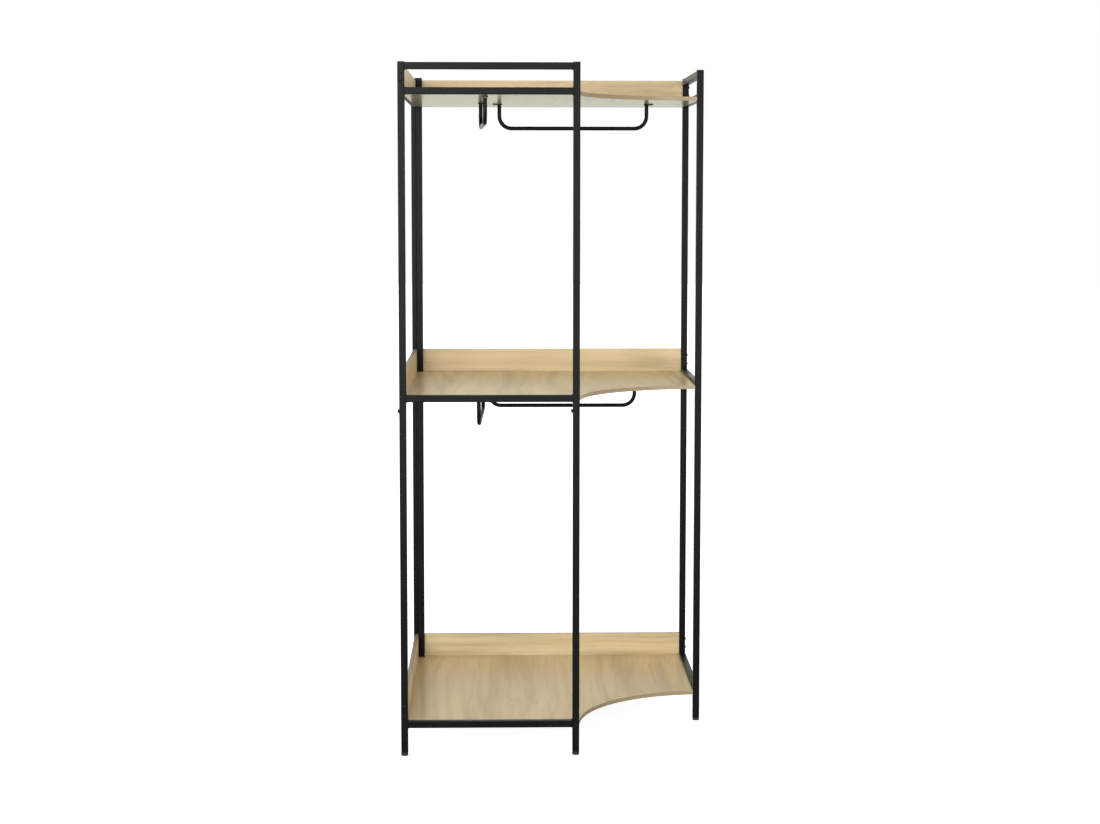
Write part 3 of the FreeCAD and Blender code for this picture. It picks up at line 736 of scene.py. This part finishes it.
floor_bmesh = bmesh.new()
bmesh.ops.create_grid(floor_bmesh, x_segments=2, y_segments=2, size=floor_half)
bmesh.ops.translate(floor_bmesh, verts=floor_bmesh.verts, vec=(0, 0, -floor_drop))
floor_mesh = bpy.data.meshes.new("studio_floor")
floor_bmesh.to_mesh(floor_mesh)
floor_bmesh.free()
floor = bpy.data.objects.new("studio_floor", floor_mesh)
bpy.context.scene.collection.objects.link(floor)
floor_paint, floor_tree, floor_shader = new_material("White studio floor")
floor_place = shader_node(floor_tree, "ShaderNodeTexCoord").outputs["Object"]
floor_clouds = noise(floor_tree, floor_place, floor_clouds_per_metre, detail=3.0)
floor_tone = mixed_colour(floor_tree, floor_clouds, *floor_greys)
floor_away = shader_node(
    floor_tree, "ShaderNodeVectorMath", [(0, floor_place)], operation="LENGTH").outputs["Value"]
floor_seen = shader_node(floor_tree, "ShaderNodeLightPath").outputs["Is Camera Ray"]
floor_light = shader_node(floor_tree, "ShaderNodeMix", [
    (0, floor_seen), (2, floor_glow(floor_tree, floor_away, bounced_glow)),
    (3, floor_glow(floor_tree, floor_away, seen_glow))]).outputs[0]
feed(floor_tree, floor_shader, base_color=floor_tone, emission_strength=floor_light,
     emission_color=mixed_colour(floor_tree, floor_seen, bounced_tint, white))
floor_shader.inputs["Roughness"].default_value = floor_roughness
floor_mesh.materials.append(floor_paint)

world = bpy.data.worlds.new("White studio")
world.use_nodes = True
world_tree = world.node_tree
seen = shader_node(world_tree, "ShaderNodeLightPath").outputs["Is Camera Ray"]
direction = shader_node(world_tree, "ShaderNodeTexCoord").outputs["Generated"]
backwards = shader_node(world_tree, "ShaderNodeSeparateXYZ", [(0, direction)]).outputs[1]
backdrop = spread(
    world_tree, backwards, backdrop_edge, backdrop_middle, interpolation_type="SMOOTHSTEP")
room_light = mixed_colour(world_tree, backdrop, room_grey, backdrop_light)
world_tree.links.new(
    mixed_colour(world_tree, seen, room_light, white), world_tree.nodes["Background"].inputs["Color"])
bpy.context.scene.world = world


def soft_box(name, place, target, width, height, power):
    """A rectangular soft light that points at a target."""
    light = bpy.data.lights.new(name, "AREA")
    light.shape = "RECTANGLE"
    light.size = width
    light.size_y = height
    light.energy = power
    lamp = bpy.data.objects.new(name, light)
    lamp.visible_camera = False
    lamp.location = place
    lamp.rotation_euler = (Vector(target) - Vector(place)).to_track_quat("-Z", "Y").to_euler()
    bpy.context.scene.collection.objects.link(lamp)


soft_box("high_light", (0.0, -4.8, 5.4), (0, 0, 0.6), width=4.0, height=3.0, power=36)
soft_box("front_light", (0.6, -9.5, 1.5), (0, 0, 1.0), width=6.0, height=2.6, power=250)
soft_box("front_left_light", (-2.2, -6.8, 2.4), (0, 0, 0.9), width=1.8, height=2.6, power=192)
soft_box("front_right_light", (4.6, -5.6, 1.7), (0, 0, 0.9), width=2.4, height=3.2, power=70)


# Camera.
# It stands a little left of the middle at eye height, as the photograph's did.
# It looks slightly down and to the right, with hardly any roll.
camera_place = (-0.1573, -6.3058, 1.6291)
camera_down = 5.217
camera_right = 1.347
camera_roll = 0.037
camera = bpy.data.cameras.new("photo_camera")
camera.lens = 67.579
camera.sensor_width = 36.0
camera.shift_y = -0.03
camera_object = bpy.data.objects.new("photo_camera", camera)
camera_object.location = camera_place
camera_turns = (90 - camera_down, -camera_roll, -camera_right)
camera_object.rotation_euler = [math.radians(turn) for turn in camera_turns]
bpy.context.scene.collection.objects.link(camera_object)
bpy.context.scene.camera = camera_object
bpy.context.scene.view_settings.view_transform = "Standard"
